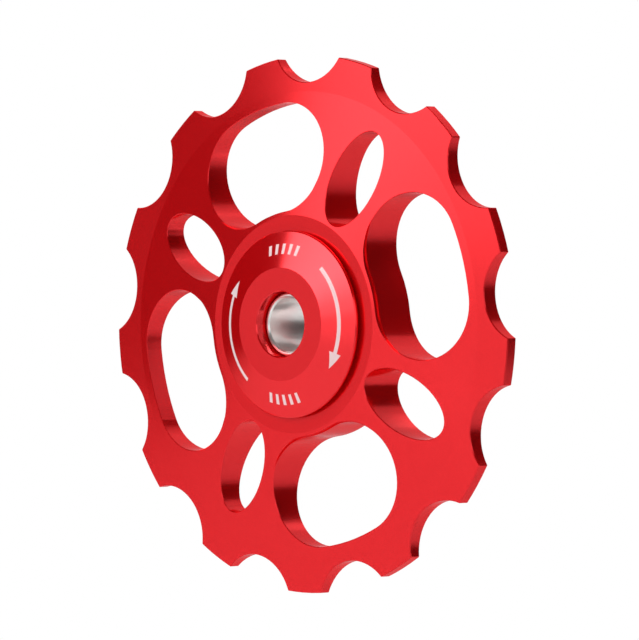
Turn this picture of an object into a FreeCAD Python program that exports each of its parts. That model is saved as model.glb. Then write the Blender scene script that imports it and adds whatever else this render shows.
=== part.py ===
"""Derailleur pulley: a toothed aluminium wheel on a sealed ball bearing.

Two dust caps and a thin centre sleeve carry the bearing's inner ring on the axle bolt. The origin is
the middle of the bore. +Y is the axle, the front face looks along -Y, and +Z is up. Millimetres.
"""
import FreeCAD, Part
import math
import os

import Sketcher

doc = FreeCAD.newDocument("derailleur_pulley")

# Driving dimensions: name, size in millimetres (angles in degrees), what it is.
DIMENSIONS = [
    ("chain_pitch", 12.7, "distance from one chain roller to the next"),
    ("roller_diameter", 7.75, "chain roller that seats between two teeth"),
    ("tooth_count", 13, "teeth round the wheel"),
    ("tip_diameter", 50.4, "across the tooth tips"),
    ("gap_radius", 4.55, "round seat between two teeth"),
    ("tip_thickness", 1.15, "tooth at its tip"),
    ("crease_drop", 0.86, "crease where the web turns into the teeth, below the bottom of the gaps"),
    ("rim_thickness", 1.8, "wheel at that crease"),
    ("hub_face_diameter", 20.4, "flat face round the bearing"),
    ("hub_thickness", 4.8, "wheel between its two hub faces"),
    ("hub_wall", 0.32, "web between the hub's flat face and a window or oval"),
    ("window_rim_wall", 1.73, "web between a curved window and the tooth gaps"),
    ("oval_rim_wall", 2.56, "web between an oval and the tooth gaps"),
    ("window_count", 4, "curved windows in the web, and as many ovals between them"),
    ("window_radius", 15.73, "middle line of a curved window"),
    ("window_span", 19.4, "angle between the centres of a window's round ends"),
    ("window_ledge", 0.12, "ledge along the hub side of a window, where its front part is cut wider"),
    ("ledge_height", 1.95, "that ledge in front of the wheel's middle"),
    ("oval_radius", 15.3, "centre of an oval hole from the axle"),
    ("oval_width", 5.36, "oval across the spoke"),
    ("hole_chamfer", 0.06, "broken edge of windows and ovals"),
    ("tip_corner_radius", 0.12, "rounded corners of a tooth tip"),
    ("tooth_chamfer", 0.08, "broken edge of the tooth outline"),
    ("wheel_turn", 28.55, "angle from top to the first oval, which faces a tooth gap"),
    ("bearing_bore", 6.0, "inner ring bore"),
    ("bearing_diameter", 13.0, "outer ring outside"),
    ("bearing_width", 5.0, "both rings"),
    ("ring_chamfer", 0.2, "edges of both rings and lead-in of the wheel's seat"),
    ("inner_ring_share", 0.3, "inner ring up to its shoulder, as a share of the bearing's section"),
    ("outer_ring_share", 0.314, "outer ring up to its shoulder, as a share of that section"),
    ("ball_share", 0.68, "ball diameter as a share of that section"),
    ("ball_count", 7, "balls in the bearing"),
    ("race_clearance", 0.05, "ball to its groove"),
    ("pocket_clearance", 0.08, "ball to its cage pocket"),
    ("cage_clearance", 0.2, "cage to the ring shoulders and to the rear seal"),
    ("cage_reach", 0.45, "cage fingers past the ball centres"),
    ("seal_step", 0.3, "ledge in the outer ring that holds a seal"),
    ("seal_seat_depth", 0.75, "that ledge from the ring's end face"),
    ("seal_thickness", 0.6, "seal disc"),
    ("seal_fit", 0.02, "seal edge in its step"),
    ("seal_clearance", 0.05, "seal lip to the inner ring"),
    ("seat_fit", 0.01, "outer ring in the wheel, filled by retaining compound"),
    ("axle_bore", 5.0, "sleeve bore for the axle bolt"),
    ("sleeve_length", 6.0, "sleeve end to end"),
    ("sleeve_fit", 0.05, "sleeve in the inner ring"),
    ("sleeve_chamfer", 0.15, "both edges of each sleeve end"),
    ("overall_width", 8.2, "between the outer faces of the two caps"),
    ("cap_diameter", 17.5, "across a cap"),
    ("cap_face_diameter", 10.6, "flat outer face of a cap"),
    ("cap_rim", 0.28, "thickness of a cap at its edge"),
    ("cap_gap", 0.3, "running gap from a cap to the wheel or outer ring"),
    ("cap_fit", 0.1, "cap hole round the sleeve"),
    ("cap_seal_gap", 0.15, "cap's foot inside the inner ring's shoulder"),
    ("cap_chamfer", 0.1, "edge of a cap and of its hole"),
]

sheet = doc.addObject("Spreadsheet::Sheet", "Sizes")
for row, (name, size, meaning) in enumerate(DIMENSIONS, start=1):
    sheet.set(f"A{row}", name)
    sheet.set(f"B{row}", str(size))
    sheet.setAlias(f"B{row}", name)
    sheet.set(f"C{row}", meaning)
doc.recompute()

# Sizes that follow from the driving ones, as expressions on the sheet.
PITCH_RADIUS = "Sizes.chain_pitch / (2 * sin(180 deg / Sizes.tooth_count))"
ROOT_RADIUS = f"({PITCH_RADIUS} - Sizes.roller_diameter / 2)"
CREASE_RADIUS = f"({ROOT_RADIUS} - Sizes.crease_drop)"
HUB_SIDE = "(Sizes.hub_face_diameter / 2 + Sizes.hub_wall)"
WINDOW_RIM_SIDE = f"({ROOT_RADIUS} - Sizes.window_rim_wall)"
WINDOW_HALF = f"min({WINDOW_RIM_SIDE} - Sizes.window_radius; Sizes.window_radius - {HUB_SIDE})"
WINDOW_OUTER = f"(Sizes.window_radius + {WINDOW_HALF})"
WINDOW_INNER = f"(Sizes.window_radius - {WINDOW_HALF})"
LEDGE_EDGE = f"({WINDOW_INNER} + Sizes.window_ledge)"
OVAL_RIM_SIDE = f"({ROOT_RADIUS} - Sizes.oval_rim_wall)"
OVAL_HALF = f"min({OVAL_RIM_SIDE} - Sizes.oval_radius; Sizes.oval_radius - {HUB_SIDE})"
SEAT_RADIUS = "(Sizes.bearing_diameter / 2 + Sizes.seat_fit)"
SECTION = "(Sizes.bearing_diameter - Sizes.bearing_bore) / 2"
INNER_LAND = f"(Sizes.bearing_bore / 2 + Sizes.inner_ring_share * {SECTION})"
OUTER_LAND = f"(Sizes.bearing_diameter / 2 - Sizes.outer_ring_share * {SECTION})"
SEAL_SEAT = f"({OUTER_LAND} + Sizes.seal_step)"
BALL_CIRCLE = "(Sizes.bearing_bore + Sizes.bearing_diameter) / 4"
BALL_RADIUS = f"(Sizes.ball_share * {SECTION} / 2)"
GROOVE_RADIUS = f"({BALL_RADIUS} + Sizes.race_clearance)"
BEARING_END = "Sizes.bearing_width / 2"
SEAL_LEDGE = f"({BEARING_END} - Sizes.seal_seat_depth)"
SLEEVE_RADIUS = "(Sizes.bearing_bore / 2 - Sizes.sleeve_fit)"
CAP_HOLE_RADIUS = f"({SLEEVE_RADIUS} + Sizes.cap_fit)"
CAP_UNDERSIDE = "(max(Sizes.hub_thickness; Sizes.bearing_width) / 2 + Sizes.cap_gap)"

CENTRE = FreeCAD.Vector(0, 0, 0)
AXIS_Y = FreeCAD.Vector(0, 1, 0)
AXIS_Z = FreeCAD.Vector(0, 0, 1)
PARALLEL = 1e-6


def origin_feature(body, role):
    """The plane or axis of the body's own origin that has this role."""
    return next(item for item in body.Origin.OriginFeatures if item.Role == role)


def attached_sketch(body, name, role):
    """An empty sketch on one of the body's origin planes."""
    sketch = body.newObject("Sketcher::SketchObject", name)
    sketch.AttachmentSupport = [(origin_feature(body, role), "")]
    sketch.MapMode = "FlatFace"
    return sketch


def value(expression):
    """What an expression on the sheet comes to now."""
    return float(sheet.evalExpression(expression))


def turned_placement(axis, degrees):
    """A turn about an axis through the origin, by an expression that gives degrees."""
    return FreeCAD.Placement(CENTRE, FreeCAD.Rotation(axis, value(degrees)))


def drive(sketch, constraint, expression):
    """Adds a dimension to a sketch and ties it to an expression on the sheet."""
    index = sketch.addConstraint(constraint)
    sketch.setExpression(f"Constraints[{index}]", expression)


def place_point(sketch, geometry, point, across, along):
    """Holds a point of a sketch at expressions for its two coordinates from the origin."""
    for kind, expression in (("DistanceX", across), ("DistanceY", along)):
        size = value(expression)
        if size < 0:
            drive(sketch, Sketcher.Constraint(kind, geometry, point, -1, 1, -size), f"-({expression})")
        else:
            drive(sketch, Sketcher.Constraint(kind, -1, 1, geometry, point, size), expression)


def draw_section(sketch, corners):
    """A closed outline of straight edges; each corner is a radius and a place along the axle."""
    places = [FreeCAD.Vector(value(radius), value(along), 0) for radius, along in corners]
    count = len(corners)
    for index in range(count):
        sketch.addGeometry(Part.LineSegment(places[index], places[(index + 1) % count]), False)
    for index in range(count):
        sketch.addConstraint(Sketcher.Constraint("Coincident", index, 2, (index + 1) % count, 1))
        place_point(sketch, index, 1, *corners[index])


def mirrored(corners):
    """Corners of the rear half of a section, followed by the same corners on the front half."""
    return corners + [(radius, f"-({along})") for radius, along in reversed(corners)]


def turned_body(label, corners):
    """A piece turned about the axle from its half section."""
    body = doc.addObject("PartDesign::Body", label)
    section = attached_sketch(body, f"{label}_section", "XY_Plane")
    draw_section(section, corners)
    turning = body.newObject("PartDesign::Revolution", f"{label}_turning")
    turning.Profile = section
    turning.ReferenceAxis = (section, ["V_Axis"])
    turning.Angle = 360
    doc.recompute()
    return body


def cut_through(body, sketch, copies):
    """Cuts a sketch right through the wheel and repeats the cut round the axle."""
    cut = body.newObject("PartDesign::Pocket", f"{sketch.Name}_cut")
    cut.Profile = sketch
    cut.Type = "ThroughAll"
    cut.SideType = "Symmetric"
    return repeat_round(body, cut, copies)


def repeat_round(body, feature, copies):
    """Repeats a feature evenly round the axle."""
    pattern = body.newObject("PartDesign::PolarPattern", f"{feature.Name}_round")
    pattern.Originals = [feature]
    pattern.Axis = (origin_feature(body, "Y_Axis"), [""])
    pattern.Angle = 360
    pattern.setExpression("Occurrences", copies)
    body.Tip = pattern
    doc.recompute()
    return pattern


def draw_gap(body):
    """The round seat for a chain roller, between two teeth, at the top of the wheel."""
    sketch = attached_sketch(body, "tooth_gap", "XZ_Plane")
    centre = f"{ROOT_RADIUS} + Sizes.gap_radius"
    radius = value("Sizes.gap_radius")
    top = FreeCAD.Vector(0, value(centre), 0)
    gap = sketch.addGeometry(Part.Circle(top, AXIS_Z, radius), False)
    sketch.addConstraint(Sketcher.Constraint("PointOnObject", gap, 3, -2))
    drive(sketch, Sketcher.Constraint("DistanceY", -1, 1, gap, 3, top.y), centre)
    drive(sketch, Sketcher.Constraint("Radius", gap, radius), "Sizes.gap_radius")
    return sketch


def draw_oval(body):
    """An oval hole with its long axis along the spoke, at the top of the wheel."""
    sketch = attached_sketch(body, "oval_hole", "XZ_Plane")
    centre = FreeCAD.Vector(0, value("Sizes.oval_radius"), 0)
    half_length = FreeCAD.Vector(0, value(OVAL_HALF), 0)
    half_width = FreeCAD.Vector(value("Sizes.oval_width / 2"), 0, 0)
    oval = sketch.addGeometry(Part.Ellipse(centre + half_length, centre + half_width, centre), False)
    sketch.exposeInternalGeometry(oval)
    long_axis = oval + 1
    short_axis = oval + 2
    sketch.addConstraint(Sketcher.Constraint("PointOnObject", oval, 3, -2))
    sketch.addConstraint(Sketcher.Constraint("Vertical", long_axis))
    drive(sketch, Sketcher.Constraint("DistanceY", -1, 1, oval, 3, centre.y), "Sizes.oval_radius")
    drive(sketch, Sketcher.Constraint("Distance", long_axis, 2 * half_length.y), f"2 * {OVAL_HALF}")
    drive(sketch, Sketcher.Constraint("Distance", short_axis, 2 * half_width.x), "Sizes.oval_width")
    return sketch


def draw_window(body, name, hub_side):
    """A window curved round the axle, with round ends, turned to stand midway between two ovals."""
    sketch = attached_sketch(body, name, "XZ_Plane")
    sketch.AttachmentOffset = turned_placement(AXIS_Z, "180 / Sizes.window_count")
    sketch.setExpression("AttachmentOffset.Rotation.Angle", "180 deg / Sizes.window_count")
    middle_line = f"({WINDOW_OUTER} + {hub_side}) / 2"
    end_across = f"{middle_line} * sin(Sizes.window_span / 2 * 1 deg)"
    end_up = f"{middle_line} * cos(Sizes.window_span / 2 * 1 deg)"
    half_span = math.radians(value("Sizes.window_span / 2"))
    end_radius = value(f"({WINDOW_OUTER} - {hub_side}) / 2")
    quarter = math.pi / 2

    def arc(centre, radius, start, end):
        return sketch.addGeometry(Part.ArcOfCircle(Part.Circle(centre, AXIS_Z, radius), start, end), False)

    right_centre = FreeCAD.Vector(value(end_across), value(end_up), 0)
    left_centre = FreeCAD.Vector(-value(end_across), value(end_up), 0)
    outer = arc(CENTRE, value(WINDOW_OUTER), quarter - half_span, quarter + half_span)
    left = arc(left_centre, end_radius, quarter + half_span, 3 * quarter + half_span)
    inner = arc(CENTRE, value(hub_side), quarter - half_span, quarter + half_span)
    right = arc(right_centre, end_radius, -quarter - half_span, quarter - half_span)
    for bow, radius in ((outer, WINDOW_OUTER), (inner, hub_side)):
        sketch.addConstraint(Sketcher.Constraint("Coincident", bow, 3, -1, 1))
        drive(sketch, Sketcher.Constraint("Radius", bow, value(radius)), radius)
    sketch.addConstraint(Sketcher.Constraint("Tangent", outer, 2, left, 1))
    sketch.addConstraint(Sketcher.Constraint("Tangent", left, 2, inner, 2))
    sketch.addConstraint(Sketcher.Constraint("Tangent", inner, 1, right, 1))
    sketch.addConstraint(Sketcher.Constraint("Tangent", right, 2, outer, 1))
    drive(sketch, Sketcher.Constraint("DistanceX", -1, 1, right, 3, right_centre.x), end_across)
    drive(sketch, Sketcher.Constraint("DistanceX", left, 3, -1, 1, right_centre.x), end_across)
    return sketch


def widen_windows(body):
    """Cuts the front part of each window wider on its hub side, down to a ledge."""
    sketch = draw_window(body, "window_front", WINDOW_INNER)
    sketch.setExpression("AttachmentOffset.Base.z", "Sizes.ledge_height")
    cut = body.newObject("PartDesign::Pocket", "window_front_cut")
    cut.Profile = sketch
    cut.Type = "ThroughAll"
    cut.Reversed = True
    repeat_round(body, cut, "Sizes.window_count")


def outline_edges(shape, inside, outside):
    """Names of the edges, between two radii, where a wall along the axle meets a wheel face."""
    names = []
    for index, edge in enumerate(shape.Edges, start=1):
        middle = edge.valueAt((edge.FirstParameter + edge.LastParameter) / 2)
        leans = []
        for face in shape.ancestorsOfType(edge, Part.Face):
            normal = face.normalAt(*face.Surface.parameter(middle))
            leans.append(abs(normal.y) > PARALLEL)
        if leans.count(True) == 1 and inside < math.hypot(middle.x, middle.z) < outside:
            names.append(f"Edge{index}")
    return names


def corner_edges(shape, inside):
    """Names of the straight edges along the axle that lie outside a radius."""
    names = []
    for index, edge in enumerate(shape.Edges, start=1):
        start = edge.valueAt(edge.FirstParameter)
        run = edge.valueAt(edge.LastParameter) - start
        across = math.hypot(run.x, run.z)
        if across < PARALLEL < abs(run.y) and inside < math.hypot(start.x, start.z):
            names.append(f"Edge{index}")
    return names


def round_tip_corners(body):
    """Rounds the corners where the tooth gaps meet the tips."""
    base = body.Tip
    fillet = body.newObject("PartDesign::Fillet", "tip_corners")
    fillet.Base = (base, corner_edges(base.Shape, value(ROOT_RADIUS)))
    fillet.setExpression("Radius", "Sizes.tip_corner_radius")
    body.Tip = fillet
    doc.recompute()


def break_edges(body, name, inside, outside, size):
    """Chamfers the outlines cut into the wheel's faces between two radii."""
    base = body.Tip
    chamfer = body.newObject("PartDesign::Chamfer", name)
    chamfer.Base = (base, outline_edges(base.Shape, inside, outside))
    chamfer.setExpression("Size", size)
    body.Tip = chamfer
    doc.recompute()


def make_wheel():
    """The toothed wheel, turned with conical webs and cut through by gaps, windows and ovals."""
    hub_end = "Sizes.hub_thickness / 2"
    body = turned_body("toothed_wheel", mirrored([
        (SEAT_RADIUS, f"{hub_end} - Sizes.ring_chamfer"),
        (f"{SEAT_RADIUS} + Sizes.ring_chamfer", hub_end),
        ("Sizes.hub_face_diameter / 2", hub_end),
        (CREASE_RADIUS, "Sizes.rim_thickness / 2"),
        ("Sizes.tip_diameter / 2", "Sizes.tip_thickness / 2"),
    ]))
    cut_through(body, draw_gap(body), "Sizes.tooth_count")
    round_tip_corners(body)
    cut_through(body, draw_oval(body), "Sizes.window_count")
    cut_through(body, draw_window(body, "curved_window", LEDGE_EDGE), "Sizes.window_count")
    past_seat = value(f"{SEAT_RADIUS} + Sizes.ring_chamfer")
    under_teeth = value(f"({WINDOW_OUTER} + {ROOT_RADIUS}) / 2")
    past_tips = value("Sizes.tip_diameter")
    break_edges(body, "hole_edges", past_seat, under_teeth, "Sizes.hole_chamfer")
    break_edges(body, "tooth_edges", under_teeth, past_tips, "Sizes.tooth_chamfer")
    widen_windows(body)
    body.Placement = turned_placement(AXIS_Y, "Sizes.wheel_turn")
    body.setExpression("Placement.Rotation.Angle", "Sizes.wheel_turn * 1 deg")
    return body


def cut_race(body):
    """Turns the ball groove into a bearing ring."""
    sketch = attached_sketch(body, f"{body.Name}_groove", "XY_Plane")
    centre = FreeCAD.Vector(value(BALL_CIRCLE), 0, 0)
    circle = Part.Circle(centre, AXIS_Z, value(GROOVE_RADIUS))
    race = sketch.addGeometry(circle, False)
    sketch.addConstraint(Sketcher.Constraint("PointOnObject", race, 3, -1))
    drive(sketch, Sketcher.Constraint("DistanceX", -1, 1, race, 3, centre.x), BALL_CIRCLE)
    drive(sketch, Sketcher.Constraint("Radius", race, circle.Radius), GROOVE_RADIUS)
    groove = body.newObject("PartDesign::Groove", f"{body.Name}_race")
    groove.Profile = sketch
    groove.ReferenceAxis = (sketch, ["V_Axis"])
    groove.Angle = 360
    doc.recompute()


def make_outer_ring():
    """Outer ring: ball groove in the middle, a step at each end for a seal."""
    outside = "Sizes.bearing_diameter / 2"
    body = turned_body("bearing_outer_ring", mirrored([
        (OUTER_LAND, SEAL_LEDGE),
        (SEAL_SEAT, SEAL_LEDGE),
        (SEAL_SEAT, BEARING_END),
        (f"{outside} - Sizes.ring_chamfer", BEARING_END),
        (outside, f"{BEARING_END} - Sizes.ring_chamfer"),
    ]))
    cut_race(body)
    return body


def make_inner_ring():
    """Inner ring: ball groove outside, plain bore for the sleeve."""
    bore = "Sizes.bearing_bore / 2"
    body = turned_body("bearing_inner_ring", mirrored([
        (bore, f"{BEARING_END} - Sizes.ring_chamfer"),
        (f"{bore} + Sizes.ring_chamfer", BEARING_END),
        (INNER_LAND, BEARING_END),
    ]))
    cut_race(body)
    return body


def make_balls():
    """The balls, evenly round the ball circle from the top."""
    balls = []
    for index in range(int(value("Sizes.ball_count"))):
        ball = doc.addObject("Part::Sphere", f"ball_{index + 1}")
        angle = f"{index} * 360 deg / Sizes.ball_count"
        ball.setExpression("Radius", BALL_RADIUS)
        ball.setExpression("Placement.Base.x", f"{BALL_CIRCLE} * sin({angle})")
        ball.setExpression("Placement.Base.z", f"{BALL_CIRCLE} * cos({angle})")
        balls.append(ball)
    return balls


def make_cage():
    """Snap-in cage: one moulded ring behind the balls with fingers that reach past their centres."""
    inside = f"{INNER_LAND} + Sizes.cage_clearance"
    outside = f"{OUTER_LAND} - Sizes.cage_clearance"
    back = f"{SEAL_LEDGE} - Sizes.cage_clearance"
    finger_end = "-Sizes.cage_reach"
    body = turned_body("ball_cage", [
        (inside, finger_end), (outside, finger_end), (outside, back), (inside, back),
    ])
    pocket = body.newObject("PartDesign::SubtractiveSphere", "ball_pocket")
    pocket.setExpression("Radius", f"{BALL_RADIUS} + Sizes.pocket_clearance")
    pocket.setExpression("Placement.Base.z", BALL_CIRCLE)
    doc.recompute()
    repeat_round(body, pocket, "Sizes.ball_count")
    return body


def face_front(body):
    """Turns a piece that was drawn for the rear side round to the front side."""
    body.Placement = turned_placement(AXIS_Z, "180")


def make_seal(label):
    """Seal disc that sits on the outer ring's step and ends just short of the inner ring."""
    lip = f"{INNER_LAND} + Sizes.seal_clearance"
    edge = f"{SEAL_SEAT} - Sizes.seal_fit"
    outer_face = f"{SEAL_LEDGE} + Sizes.seal_thickness"
    return turned_body(label, [
        (lip, SEAL_LEDGE), (edge, SEAL_LEDGE), (edge, outer_face), (lip, outer_face),
    ])


def make_sleeve():
    """Thin steel sleeve that lines the bearing and centres the caps on the axle bolt."""
    bore = "Sizes.axle_bore / 2"
    end = "Sizes.sleeve_length / 2"
    return turned_body("centre_sleeve", mirrored([
        (bore, f"{end} - Sizes.sleeve_chamfer"),
        (f"{bore} + Sizes.sleeve_chamfer", end),
        (f"{SLEEVE_RADIUS} - Sizes.sleeve_chamfer", end),
        (SLEEVE_RADIUS, f"{end} - Sizes.sleeve_chamfer"),
    ]))


def make_cap(label):
    """Dust cap: its foot stands on the inner ring, its skirt runs just clear of the wheel's hub."""
    foot = f"{INNER_LAND} - Sizes.cap_seal_gap"
    edge = "Sizes.cap_diameter / 2"
    rim_top = f"{CAP_UNDERSIDE} + Sizes.cap_rim"
    top = "Sizes.overall_width / 2"
    return turned_body(label, [
        (CAP_HOLE_RADIUS, BEARING_END),
        (foot, BEARING_END),
        (foot, CAP_UNDERSIDE),
        (edge, CAP_UNDERSIDE),
        (edge, f"{rim_top} - Sizes.cap_chamfer"),
        (f"{edge} - Sizes.cap_chamfer", rim_top),
        ("Sizes.cap_face_diameter / 2", top),
        (f"{CAP_HOLE_RADIUS} + Sizes.cap_chamfer", top),
        (CAP_HOLE_RADIUS, f"{top} - Sizes.cap_chamfer"),
    ])


pieces = [make_wheel(), make_outer_ring(), make_inner_ring(), make_cage(), make_sleeve()]
pieces += make_balls()
for side in ("front", "rear"):
    for maker, kind in ((make_seal, "seal"), (make_cap, "cap")):
        piece = maker(f"{side}_{kind}")
        if side == "front":
            face_front(piece)
        pieces.append(piece)

doc.recompute()

for item in doc.Objects:
    if {"Invalid", "Error"} & set(item.State):
        raise RuntimeError(f"{item.Name} did not build: {item.State}")
    if item.TypeId in ("PartDesign::Pocket", "PartDesign::Groove", "PartDesign::SubtractiveSphere"):
        if item.Shape.Volume >= item.BaseFeature.Shape.Volume:
            raise RuntimeError(f"{item.Name} cuts nothing")
for piece in pieces:
    if piece.Shape.isNull() or not piece.Shape.isValid():
        raise RuntimeError(f"{piece.Label} has no valid shape")

os.makedirs("parts", exist_ok=True)
for piece in pieces:
    piece.Shape.exportStep(f"parts/{piece.Label}.step")
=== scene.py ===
"""Looks of a derailleur pulley: a red anodised toothed wheel, its sealed bearing, sleeve and dust caps.

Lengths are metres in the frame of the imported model, unless a name says millimetres. +Y runs along the axle,
the front looks along -Y, and +Z is up.
"""
import math

import bpy
from mathutils import Matrix, Vector

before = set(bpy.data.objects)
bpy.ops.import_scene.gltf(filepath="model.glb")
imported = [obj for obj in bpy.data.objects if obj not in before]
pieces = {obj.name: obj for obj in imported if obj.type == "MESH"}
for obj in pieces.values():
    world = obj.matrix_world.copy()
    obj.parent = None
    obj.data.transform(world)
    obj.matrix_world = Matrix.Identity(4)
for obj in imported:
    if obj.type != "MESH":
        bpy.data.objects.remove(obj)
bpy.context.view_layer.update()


# Centre sleeve
# A thin steel tube that lines the bearing and takes the axle bolt. It is turned from bar, bored and left
# bright, with both ends chamfered. The inner ring and the caps push over it.


class Shade:
    """An output of a material's nodes. Arithmetic on it adds Math nodes to the same material."""

    def __init__(self, tree, socket=None):
        self.tree = tree
        self.socket = socket

    def node(self, kind, settings, sockets, output=0):
        """Adds a node: its settings first, then a value or a link for each socket named."""
        made = self.tree.nodes.new(kind)
        for name, value in settings.items():
            setattr(made, name, value)
        for name, value in sockets.items():
            if isinstance(value, Shade):
                self.tree.links.new(value.socket, made.inputs[name])
            else:
                made.inputs[name].default_value = value
        return Shade(self.tree, made.outputs[output] if made.outputs else None)

    def output(self, name):
        """Another output of the node that this one comes from."""
        return Shade(self.tree, self.socket.node.outputs[name])

    def maths(self, operation, *values):
        return self.node("ShaderNodeMath", {"operation": operation}, dict(enumerate(values)))

    def __add__(self, other):
        return self.maths("ADD", self, other)

    def __sub__(self, other):
        return self.maths("SUBTRACT", self, other)

    def __rsub__(self, other):
        return self.maths("SUBTRACT", other, self)

    def __mul__(self, other):
        return self.maths("MULTIPLY", self, other)

    def __pow__(self, other):
        return self.maths("POWER", self, other)

    def __abs__(self):
        return self.maths("ABSOLUTE", self)

    __radd__ = __add__
    __rmul__ = __mul__

    def rise(self, start, end):
        """0 up to start, 1 from end on, and a smooth rise between them."""
        limits = {"Value": self, "From Min": start, "From Max": end}
        return self.node("ShaderNodeMapRange", {"interpolation_type": "SMOOTHSTEP"}, limits)

    def between(self, first, second):
        """A colour that goes from first to second as this value goes from 0 to 1."""
        share, colour_a, colour_b, colour = 0, 6, 7, 2
        mixed = {share: self, colour_a: first, colour_b: second}
        return self.node("ShaderNodeMix", {"data_type": "RGBA"}, mixed, colour)


def new_finish(name):
    """An empty material, and the place to add its nodes."""
    material = bpy.data.materials.new(name)
    material.use_nodes = True
    material.node_tree.nodes.clear()
    return material, Shade(material.node_tree)


def axle_place(shade):
    """Where a point of the surface lies, in millimetres: across, along the axle, and up."""
    mm_per_metre = 1000
    place = shade.node("ShaderNodeTexCoord", {}, {}, "Object")
    split = shade.node("ShaderNodeSeparateXYZ", {}, {"Vector": place})
    return [split.output(name) * mm_per_metre for name in ("X", "Y", "Z")]


def from_axle(across, up):
    """How far out from the axle a point lies, in millimetres."""
    return (across * across + up * up) ** 0.5


def lathe_lines(shade, place, per_mm):
    """Fine grooves of a turning tool, from 0 to 1, that vary only with one place on the section."""
    lines = {"W": place, "Scale": per_mm, "Detail": 3.0, "Roughness": 0.6}
    return shade.node("ShaderNodeTexNoise", {"noise_dimensions": "1D"}, lines, "Fac")


def specks(shade, per_piece, detail):
    """Fine uneven specks, from 0 to 1, of which so many lie along each side of the piece's box."""
    return shade.node("ShaderNodeTexNoise", {}, {"Scale": per_piece, "Detail": detail}, "Fac")


def relief(shade, height, depth, strength=1.0):
    """Fine relief, as a bump: a height from 0 to 1 stands for this depth in metres."""
    return shade.node("ShaderNodeBump", {}, {"Strength": strength, "Distance": depth, "Height": height})


def dress(names, material, sockets):
    """Ends a material with one shader and gives it to these pieces."""
    shade = Shade(material.node_tree)
    shader = shade.node("ShaderNodeBsdfPrincipled", {}, sockets)
    shade.node("ShaderNodeOutputMaterial", {}, {"Surface": shader})
    for name in names:
        pieces[name].material_slots[0].material = material


bright_steel = (0.97, 0.97, 0.95, 1)
handled_steel = (0.86, 0.86, 0.84, 1)
most_handled = 0.5
bored_lines_per_mm = 14
bored_roughness = 0.25
bored_line_roughness = 0.10
sleeve_finish, shade = new_finish("bright_turned_steel")
across, along, up = axle_place(shade)
turning = lathe_lines(shade, along + from_axle(across, up), bored_lines_per_mm)
smear = specks(shade, per_piece=900.0, detail=4.0).rise(0.45, 0.75)
dress(["centre_sleeve"], sleeve_finish, {
    "Base Color": (smear * most_handled).between(bright_steel, handled_steel),
    "Metallic": 1.0,
    "Roughness": bored_roughness + bored_line_roughness * turning,
    "Normal": relief(shade, turning, depth=0.00002, strength=0.12),
})


# Bearing rings
# Two rings of through-hardened bearing steel with a ground ball groove. The inner one sits on the sleeve, and
# retaining compound holds the outer one in the wheel.

ground_steel = (0.60, 0.60, 0.61, 1)
oiled_steel = (0.47, 0.46, 0.45, 1)
ground_lines_per_mm = 40
ground_roughness = 0.30
ground_line_roughness = 0.06
oil_gloss = 0.08
ring_finish, shade = new_finish("ground_bearing_steel")
across, along, up = axle_place(shade)
grinding = lathe_lines(shade, along + from_axle(across, up), ground_lines_per_mm)
oil = specks(shade, per_piece=420.0, detail=3.0).rise(0.4, 0.7)
dress(["bearing_inner_ring", "bearing_outer_ring"], ring_finish, {
    "Base Color": oil.between(ground_steel, oiled_steel),
    "Metallic": 1.0,
    "Roughness": ground_roughness - oil_gloss * oil + ground_line_roughness * grinding,
    "Normal": relief(shade, grinding, depth=0.00001, strength=0.08),
})


# Balls
# Seven balls of chrome steel, ground and lapped until they shine. They roll in the grooves of the two rings
# with a thin film of grease.

lapped_steel = (0.72, 0.72, 0.73, 1)
greased_steel = (0.62, 0.60, 0.55, 1)
lapped_roughness = 0.05
grease_roughness = 0.10
balls = [name for name in pieces if name.startswith("ball_") and name != "ball_cage"]
ball_finish, shade = new_finish("lapped_ball_steel")
grease = specks(shade, per_piece=1500.0, detail=2.0).rise(0.45, 0.7)
dress(balls, ball_finish, {
    "Base Color": grease.between(lapped_steel, greased_steel),
    "Metallic": 1.0,
    "Roughness": lapped_roughness + grease_roughness * grease,
})


# Ball cage
# One ring of brown nylon with open pockets, moulded in one shot. It snaps over the balls from behind and
# keeps them apart.

nylon = (0.20, 0.11, 0.045, 1)
glass_filled_nylon = (0.27, 0.16, 0.07, 1)
nylon_roughness = 0.42
fibre_roughness = 0.16
cage_finish, shade = new_finish("moulded_brown_nylon")
fibres = specks(shade, per_piece=3000.0, detail=5.0)
dress(["ball_cage"], cage_finish, {
    "Base Color": fibres.rise(0.35, 0.65).between(nylon, glass_filled_nylon),
    "Roughness": nylon_roughness + fibre_roughness * fibres,
    "Normal": relief(shade, fibres, depth=0.00002, strength=0.15),
})


# Seals
# Two discs of black nitrile rubber, moulded with fine ribs. They press into the outer ring and end just short
# of the inner one.

black_rubber = (0.012, 0.012, 0.013, 1)
dusty_rubber = (0.030, 0.029, 0.028, 1)
rubber_roughness = 0.50
grain_roughness = 0.20
rib_pitch_mm = 0.4
rib_height = 0.5
grain_height = 0.3
seal_finish, shade = new_finish("moulded_nitrile_rubber")
across, _, up = axle_place(shade)
ribs = shade.maths("SINE", from_axle(across, up) * (2 * math.pi / rib_pitch_mm))
grain = specks(shade, per_piece=4000.0, detail=3.0)
dress(["front_seal", "rear_seal"], seal_finish, {
    "Base Color": grain.between(black_rubber, dusty_rubber),
    "Roughness": rubber_roughness + grain_roughness * grain,
    "Normal": relief(shade, rib_height * ribs + grain_height * grain, depth=0.00005, strength=0.4),
})


# Toothed wheel
# One blank of aluminium, turned to two shallow cones, then milled: round gaps for the chain's rollers, curved
# windows and ovals. It is anodised, dyed red and sealed, which leaves a satin skin over the tool marks.

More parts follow.
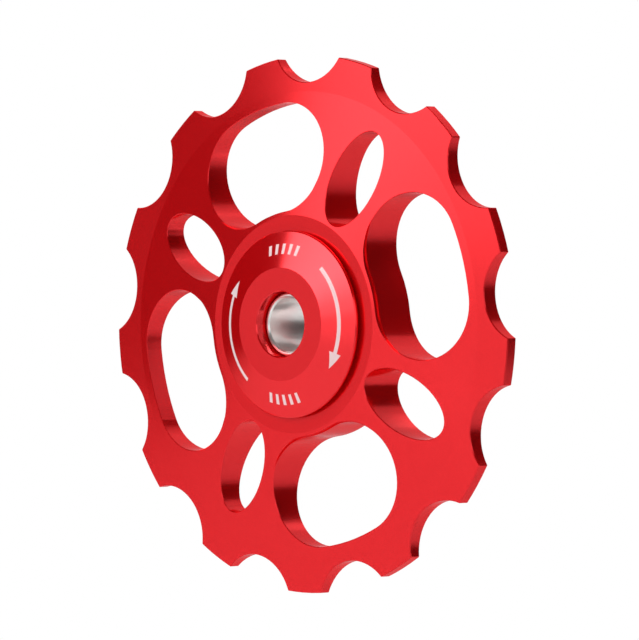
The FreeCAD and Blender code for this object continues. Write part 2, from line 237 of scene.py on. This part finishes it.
anodised_red = (0.95, 0.0030, 0.0062, 1)
deep_anodised_red = (0.88, 0.0022, 0.0048, 1)
oxide_index = 3.2
oxide_tint = (1, 0.23, 0.26, 1)
dyed_metal = 0.50
satin_roughness = 0.15
tool_mark_roughness = 0.04
dye_roughness = 0.02
tool_mark_depth = 5e-7
web_lines_per_mm = 11
mill_lines_per_mm = 9.0
wheel_finish, shade = new_finish("satin_red_anodised")
across, _, up = axle_place(shade)
facing = shade.node("ShaderNodeTexCoord", {}, {}, "Normal")
turned = abs(shade.node("ShaderNodeSeparateXYZ", {}, {"Vector": facing}, "Y")).rise(0.8, 0.95)
web_lines = lathe_lines(shade, from_axle(across, up), web_lines_per_mm)
outline = shade.node("ShaderNodeCombineXYZ", {}, {"X": across, "Y": up})
milled = {"Vector": outline, "Scale": mill_lines_per_mm, "Detail": 3.0}
mill_lines = shade.node("ShaderNodeTexNoise", {"noise_dimensions": "2D"}, milled, "Fac")
tool_marks = turned * web_lines + (1 - turned) * mill_lines
dye = specks(shade, per_piece=260.0, detail=5.0).rise(0.3, 0.7)
dress(["toothed_wheel"], wheel_finish, {
    "Base Color": dye.between(anodised_red, deep_anodised_red),
    "Metallic": dyed_metal,
    "IOR": oxide_index,
    "Specular Tint": oxide_tint,
    "Roughness": satin_roughness + tool_mark_roughness * tool_marks + dye_roughness * dye,
    "Normal": relief(shade, tool_marks, tool_mark_depth),
})


# Dust caps
# Two caps turned from aluminium and anodised like the wheel, but finer and so glossier. A flat ring surrounds
# the hole and a cone runs out to a thin edge. A laser has burnt plain white marks into the cone.

glossy_red = (1.0, 0.0030, 0.0062, 1)
deep_glossy_red = (0.95, 0.0022, 0.0048, 1)
fine_oxide_tint = (1, 0.30, 0.34, 1)
gloss_roughness = 0.14
cap_line_roughness = 0.03
cap_lines_per_mm = 16
laser_white = (0.80, 0.76, 0.76, 1)
burnt_roughness = 0.6
mark_radius_mm = 7.05
mark_edge_mm = 0.04
arrow_half_width_mm = 0.2
arrow_head_half_width_mm = 0.62
arrow_start = math.radians(42)
arrow_neck = math.radians(112)
arrow_tip = math.radians(126)
arrow_end_edge = 0.01
tick_pitch = math.radians(7)
tick_half_angle = math.radians(1.3)
tick_side_edge = 0.006
tick_half_length_mm = 0.5
last_tick = math.radians(14)
row_end = last_tick + 0.04
row_end_edge = 0.01
under_side_mm = 2.95
outer_side_mm = 3.0
cap_finish, shade = new_finish("glossy_red_anodised")
across, along, up = axle_place(shade)
radius = from_axle(across, up)
turning = lathe_lines(shade, along + radius, cap_lines_per_mm)
off_middle = abs(radius - mark_radius_mm)
angle = shade.maths("ARCTAN2", across, up)
half_turn = shade.maths("FLOORED_MODULO", angle, math.pi)
head_width = (arrow_tip - half_turn) * (arrow_head_half_width_mm / (arrow_tip - arrow_neck))
in_head = half_turn.rise(arrow_neck, arrow_neck + arrow_end_edge)
in_shaft = half_turn.rise(arrow_start, arrow_start + arrow_end_edge) * (1 - in_head)
arrow = (in_shaft * (arrow_half_width_mm - off_middle).rise(0, mark_edge_mm)
         + in_head * (head_width - off_middle).rise(0, mark_edge_mm))
from_top = shade.maths("PINGPONG", abs(angle), math.pi / 2)
from_tick = shade.maths("PINGPONG", from_top, tick_pitch / 2)
tick = ((1 - from_tick.rise(tick_half_angle, tick_half_angle + tick_side_edge))
        * (1 - from_top.rise(row_end, row_end + row_end_edge))
        * (tick_half_length_mm - off_middle).rise(0, mark_edge_mm))
burnt = shade.maths("MAXIMUM", arrow, tick) * abs(along).rise(under_side_mm, outer_side_mm)
dye = specks(shade, per_piece=320.0, detail=4.0).rise(0.3, 0.7)
dress(["front_cap", "rear_cap"], cap_finish, {
    "Base Color": burnt.between(dye.between(glossy_red, deep_glossy_red), laser_white),
    "Metallic": dyed_metal * (1 - burnt),
    "IOR": oxide_index,
    "Specular Tint": fine_oxide_tint,
    "Roughness": (1 - burnt) * (gloss_roughness + cap_line_roughness * turning) + burnt_roughness * burnt,
    "Normal": relief(shade, turning, depth=0.00001, strength=0.04),
})


# Floor
# A plain white board below the wheel. It fades out behind, before the camera would see it, at the foot of the
# lights in front, and towards its rim.

floor_drop = 0.060
floor_left = 0.35
floor_radius = 1.05
rim_fade_start = 0.45
back_fade_start = 0.05
back_fade_end = 0.30
front_fade_start = 0.70
front_fade_end = 0.92
white_board = (0.78, 0.78, 0.78, 1)
board_roughness = 0.8
camera_azimuth = math.radians(43.507)
away = Vector((-math.sin(camera_azimuth), math.cos(camera_azimuth), 0))
aside = Vector((math.cos(camera_azimuth), math.sin(camera_azimuth), 0))
lights_left = math.radians(22.5)
to_lights = Vector((-math.sin(lights_left), -math.cos(lights_left), 0))
floor_centre = Vector((0, 0, -floor_drop)) - aside * floor_left
corners = [floor_centre + (away * back + aside * right) * floor_radius
           for back, right in ((1, -1), (-1, -1), (-1, 1), (1, 1))]
board = bpy.data.meshes.new("floor")
board.from_pydata(corners, [], [(0, 1, 2, 3)])
floor = bpy.data.objects.new("floor", board)
bpy.context.scene.collection.objects.link(floor)
board_finish, shade = new_finish("white_board")
place = shade.node("ShaderNodeTexCoord", {}, {}, "Object")
reach, forward, spread = (
    shade.node("ShaderNodeVectorMath", {"operation": operation}, {0: place, 1: other}, "Value")
    for operation, other in (("DOT_PRODUCT", away), ("DOT_PRODUCT", to_lights), ("DISTANCE", floor_centre)))
board_shader = shade.node("ShaderNodeBsdfPrincipled", {}, {
    "Base Color": white_board,
    "Roughness": board_roughness,
    "Alpha": ((1 - reach.rise(back_fade_start, back_fade_end))
              * (1 - forward.rise(front_fade_start, front_fade_end))
              * (1 - spread.rise(rim_fade_start, floor_radius))),
})
shade.node("ShaderNodeOutputMaterial", {}, {"Surface": board_shader})
board.materials.append(board_finish)


# Studio light
# Large softboxes round the wheel, out of the camera's sight, in a dim room with a white backdrop. One small
# card close behind the hub shines on the walls of the windows.

white = (1, 1, 1, 1)
room_light = 0.03
backdrop_light = 1.0


def softbox(name, left, height, distance, size, radiance, at_left=1.0, at_bottom=1.0):
    """A flat light that faces the wheel: degrees to the left of its front and above its axle.

    Its brightness falls evenly to a share of the whole towards its left edge, or over its lowest third.
    """
    lowest_part = 1 / 3
    lamp = bpy.data.lights.new(name, "AREA")
    lamp.shape = "RECTANGLE"
    lamp.size, lamp.size_y = size
    lamp.energy = radiance * math.pi * lamp.size * lamp.size_y
    lamp.use_nodes = True
    lamp.node_tree.nodes.clear()
    shade = Shade(lamp.node_tree)
    spot = shade.node("ShaderNodeNewGeometry", {}, {}, "Parametric")
    split = shade.node("ShaderNodeSeparateXYZ", {}, {"Vector": spot})
    sideways = at_left + (1 - at_left) * split.output("X")
    upward = shade.maths("MINIMUM", 1.0, at_bottom + (1 - at_bottom) / lowest_part * split.output("Y"))
    glow = shade.node("ShaderNodeEmission", {}, {"Color": white, "Strength": sideways * upward})
    shade.node("ShaderNodeOutputLight", {}, {"Surface": glow})
    left, height = math.radians(left), math.radians(height)
    level = Vector((-math.sin(left), -math.cos(left), 0))
    towards = level * math.cos(height) + Vector((0, 0, math.sin(height)))
    box = bpy.data.objects.new(name, lamp)
    box.location = towards * distance
    box.rotation_euler = towards.to_track_quat("Z", "Y").to_euler()
    box.visible_camera = False
    bpy.context.scene.collection.objects.link(box)


softbox("front_left_softbox", left=21, height=26, distance=0.9, size=(0.80, 0.73), radiance=5.1,
        at_left=0.55, at_bottom=0.2)
softbox("low_front_card", left=22.5, height=1.0, distance=0.95, size=(1.33, 0.18), radiance=1.5,
        at_left=0.13)
softbox("overhead_softbox", left=-155, height=75, distance=0.3, size=(0.24, 0.24), radiance=4.7)
softbox("backdrop_panel", left=146.5, height=23, distance=0.9, size=(1.62, 1.16), radiance=0.6)
softbox("backdrop_glow", left=136.5, height=-6, distance=0.9, size=(0.5, 0.5), radiance=0.6)
softbox("camera_softbox", left=-46, height=10, distance=0.9, size=(0.30, 0.40), radiance=1.2)
softbox("hub_side_card", left=190, height=10, distance=0.031, size=(0.011, 0.022), radiance=0.6)

room = bpy.data.worlds.new("studio")
room.use_nodes = True
room.node_tree.nodes.clear()
shade = Shade(room.node_tree)
dim_room = shade.node("ShaderNodeBackground", {}, {"Color": white, "Strength": room_light})
backdrop = shade.node("ShaderNodeBackground", {}, {"Color": white, "Strength": backdrop_light})
seen = shade.node("ShaderNodeLightPath", {}, {}, "Is Camera Ray")
shade.node("ShaderNodeOutputWorld", {}, {
    "Surface": shade.node("ShaderNodeMixShader", {}, {0: seen, 1: dim_room, 2: backdrop}),
})
bpy.context.scene.world = room
bpy.context.scene.view_settings.view_transform = "Standard"


# Camera
# It stands to the right of the front face at the height of the axle, with a long lens. Its place is solved
# from the outline of the teeth, windows and ovals.

camera_elevation = math.radians(0.241)
camera_distance = 0.46859
camera_roll = math.radians(-0.23)
camera_aim = Vector((0.00063, 0.00060, 0.00038))
nearest_seen = 0.01
focal_pixels = 4996.2
image_height_pixels = 640
eye = bpy.data.cameras.new("camera")
eye.sensor_fit = "VERTICAL"
eye.lens = eye.sensor_height * focal_pixels / image_height_pixels
eye.clip_start = nearest_seen
camera = bpy.data.objects.new("camera", eye)
back = Vector((math.sin(camera_azimuth) * math.cos(camera_elevation),
               -math.cos(camera_azimuth) * math.cos(camera_elevation), math.sin(camera_elevation)))
turn = back.to_track_quat("Z", "Y").to_matrix().to_4x4() @ Matrix.Rotation(camera_roll, 4, "Z")
camera.matrix_world = Matrix.Translation(camera_aim + back * camera_distance) @ turn
bpy.context.scene.collection.objects.link(camera)
bpy.context.scene.camera = camera
